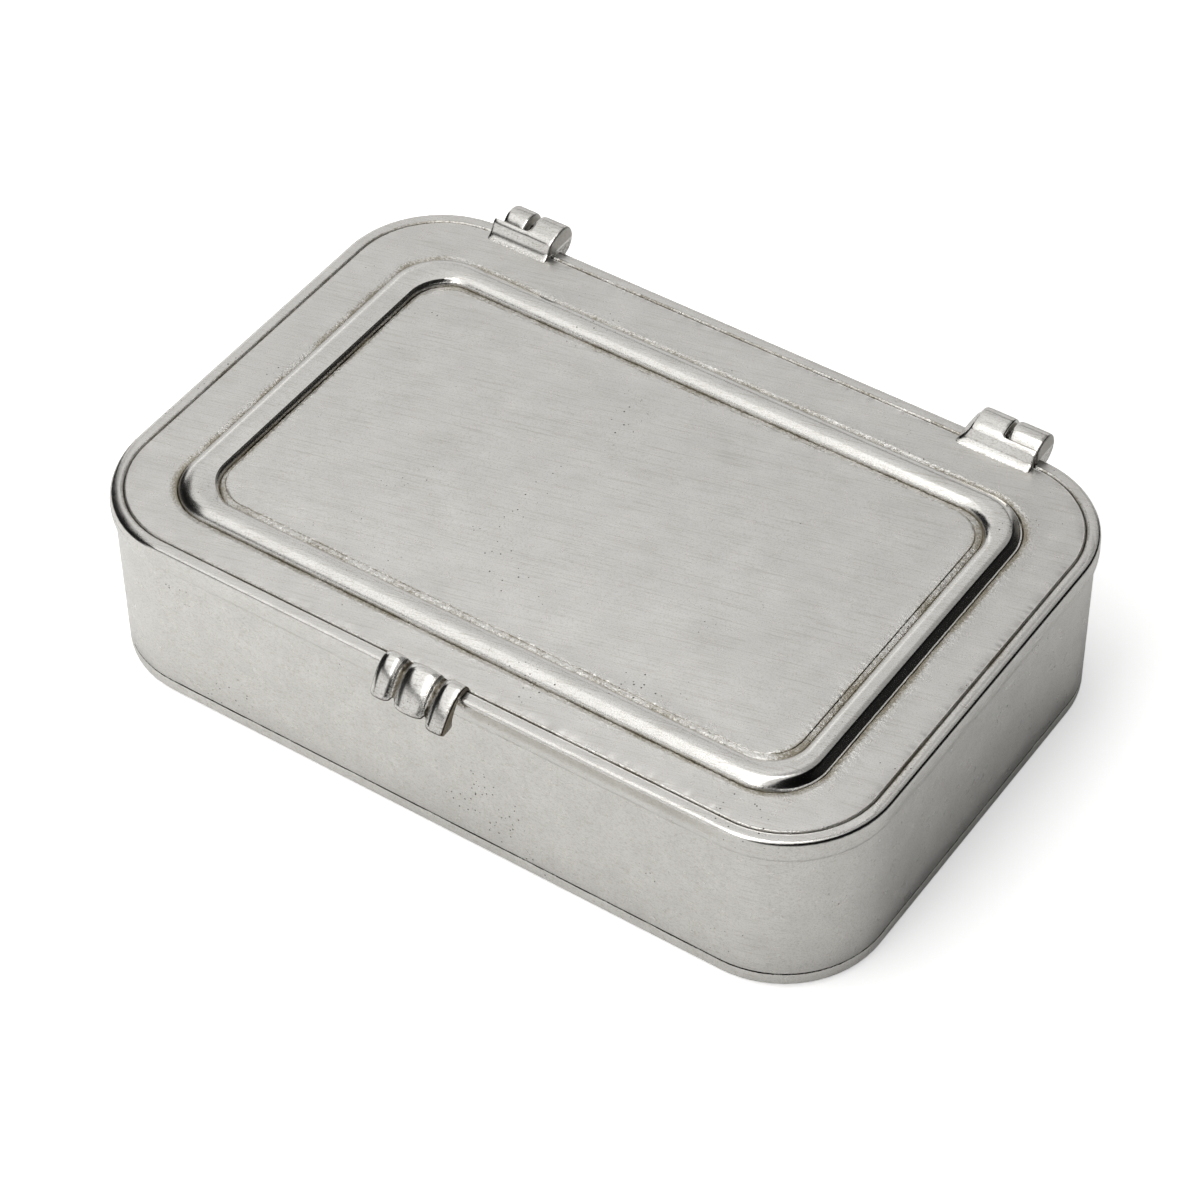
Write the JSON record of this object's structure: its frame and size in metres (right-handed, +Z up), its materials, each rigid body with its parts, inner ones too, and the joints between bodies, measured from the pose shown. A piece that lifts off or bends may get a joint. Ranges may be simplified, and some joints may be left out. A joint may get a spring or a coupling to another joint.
{
  "type": "match box",
  "caption": "Cast pewter oblong match box with rounded corners, a flush lid with a raised bead, pin hinges and a thumb tab.",
  "frame": {"origin": "centre of the flat underside of the base plate", "axes": "+X along the length, -Y towards the front with the thumb tab, +Z up through the lid"},
  "size_m": [0.12, 0.0876, 0.0311],
  "materials": {
    "satin_pewter": "cast pewter, brushed satin",
    "polished_pewter": "cast pewter, soft polish",
    "pin_steel": "plain drawn steel wire"
  },
  "bodies": {
    "box": {"base_plate": "satin_pewter", "wall_frame": "satin_pewter", "rim_frame": "polished_pewter", "body_hinge_knuckle_left": "polished_pewter", "body_hinge_knuckle_right": "polished_pewter", "hinge_pin_left": "pin_steel", "hinge_pin_right": "pin_steel"},
    "lid": {"lid_plate": "satin_pewter", "thumb_tab": "polished_pewter", "lid_hinge_lug_left": "polished_pewter", "lid_hinge_lug_right": "polished_pewter"}
  },
  "joints": [
    {"name": "lid_hinge", "type": "hinge", "parent": "box", "child": "lid", "pos_m": [0, 0.0409, 0.0284], "axis": [-1, 0, 0], "range_deg": [0, 110]}
  ]
}
